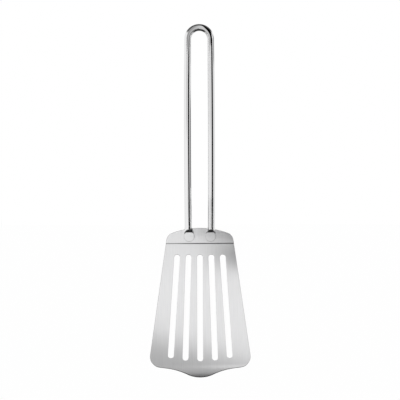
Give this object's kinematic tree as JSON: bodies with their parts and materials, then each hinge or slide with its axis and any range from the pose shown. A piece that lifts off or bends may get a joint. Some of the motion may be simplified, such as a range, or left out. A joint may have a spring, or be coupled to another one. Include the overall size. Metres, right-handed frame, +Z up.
{
  "type": "fish spatula",
  "caption": "Slotted fish spatula: a bent sheet blade with fanned slots and a curled nose, welded to the forged ends of a round rod bent into a long loop handle.",
  "frame": {"origin": "inside top of the handle's loop, on the rod's middle plane, where a hook bears", "axes": "+Z up along the handle, as the spatula hangs; -Y is the front, the side that carries the food; +X to the right seen from the front"},
  "size_m": [0.0922, 0.0314, 0.3252],
  "materials": {
    "polished_rod": "polished stainless steel",
    "brushed_sheet": "fine lengthwise satin brushing",
    "weld_metal": "as fused"
  },
  "bodies": {
    "root": {"handle": "polished_rod", "blade": "brushed_sheet", "left_weld": "weld_metal", "right_weld": "weld_metal"}
  },
  "joints": []
}
